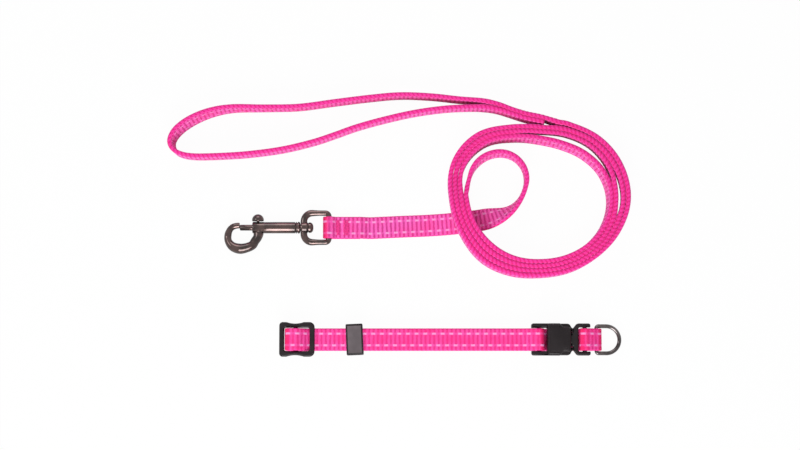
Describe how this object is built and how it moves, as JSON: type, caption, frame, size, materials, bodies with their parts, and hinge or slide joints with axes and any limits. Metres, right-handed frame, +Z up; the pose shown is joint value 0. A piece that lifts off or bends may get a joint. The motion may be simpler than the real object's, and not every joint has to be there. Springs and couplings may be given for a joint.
{
  "type": "dog leash and collar set",
  "caption": "Webbing leash wound in a flat coil, with a hand loop and a swivel bolt snap, and the matching collar with tri-glide, keeper, D-ring and side-release buckle.",
  "frame": {"origin": "centre of the laid-out set's footprint, on the surface that it lies on", "axes": "+X from the snap towards the wound turns, +Y from the collar towards the hand loop, +Z up"},
  "size_m": [0.2095, 0.1195, 0.0121],
  "materials": {
    "pink_webbing": "ribbed weave with pale reflective threads",
    "pink_thread": "sewing thread",
    "gunmetal": "polished dark plating",
    "spring_steel": "plain",
    "nickel": "polished plating",
    "black_plastic": "satin"
  },
  "bodies": {
    "leash": {"leash_webbing_end": "pink_webbing", "leash_webbing_lead": "pink_webbing", "leash_webbing_coil": "pink_webbing", "leash_webbing_handle": "pink_webbing", "snap_end_stitching": "pink_thread", "handle_stitching": "pink_thread"},
    "eye": {"swivel_eye": "gunmetal"},
    "snap": {"swivel_rivet": "gunmetal", "snap_body": "gunmetal", "bolt_spring": "spring_steel"},
    "bolt": {"snap_bolt": "gunmetal", "thumb_knob": "gunmetal"},
    "collar": {"collar_webbing_loop": "pink_webbing", "collar_webbing_back": "pink_webbing", "tri_glide": "black_plastic", "tri_glide_stitching": "pink_thread", "buckle_socket": "black_plastic", "d_ring_stitching": "pink_thread"},
    "keeper": {"strap_keeper": "black_plastic"},
    "plug": {"buckle_plug": "black_plastic"},
    "back_prong": {"prong_back": "black_plastic"},
    "front_prong": {"prong_front": "black_plastic"},
    "ring": {"d_ring": "nickel"}
  },
  "joints": [
    {"name": "eye_pivot", "type": "hinge", "parent": "leash", "child": "eye", "pos_m": [-0.0323, -0.0012, 0.0028], "axis": [0, 1, 0], "range_deg": [-120, 150]},
    {"name": "hook_swivel", "type": "hinge", "parent": "eye", "child": "snap", "pos_m": [-0.0323, -0.0012, 0.0028], "axis": [1, 0, 0], "continuous": true},
    {"name": "bolt_slide", "type": "slide", "parent": "snap", "child": "bolt", "axis": [1, 0, 0], "range_m": [0, 0.006], "stiffness_N_per_m": 300, "springref_m": -0.004, "deforming": ["bolt_spring"]},
    {"name": "collar_lift", "type": "slide", "parent": "leash", "child": "collar", "axis": [0, 0, 1], "range_m": [0, 0.1]},
    {"name": "keeper_slide", "type": "slide", "parent": "collar", "child": "keeper", "axis": [1, 0, 0], "range_m": [-0.0105, 0.068]},
    {"name": "buckle_release", "type": "slide", "parent": "collar", "child": "plug", "axis": [1, 0, 0], "range_m": [0, 0.016], "deforming": ["prong_back", "prong_front", "collar_webbing_back"]},
    {"name": "back_prong_press", "type": "hinge", "parent": "plug", "child": "back_prong", "pos_m": [0.0769, -0.04795, 0.0052], "axis": [0, 0, 1], "range_deg": [0, 8], "stiffness_Nm_per_rad": 0.2, "springref_deg": -2.86},
    {"name": "front_prong_press", "type": "hinge", "parent": "plug", "child": "front_prong", "pos_m": [0.0769, -0.05605, 0.0052], "axis": [0, 0, -1], "range_deg": [0, 8], "stiffness_Nm_per_rad": 0.2, "springref_deg": -2.86},
    {"name": "d_ring_pivot", "type": "hinge", "parent": "plug", "child": "ring", "pos_m": [0.0886, -0.052, 0.00245], "axis": [0, -1, 0], "range_deg": [-138, 115]}
  ]
}
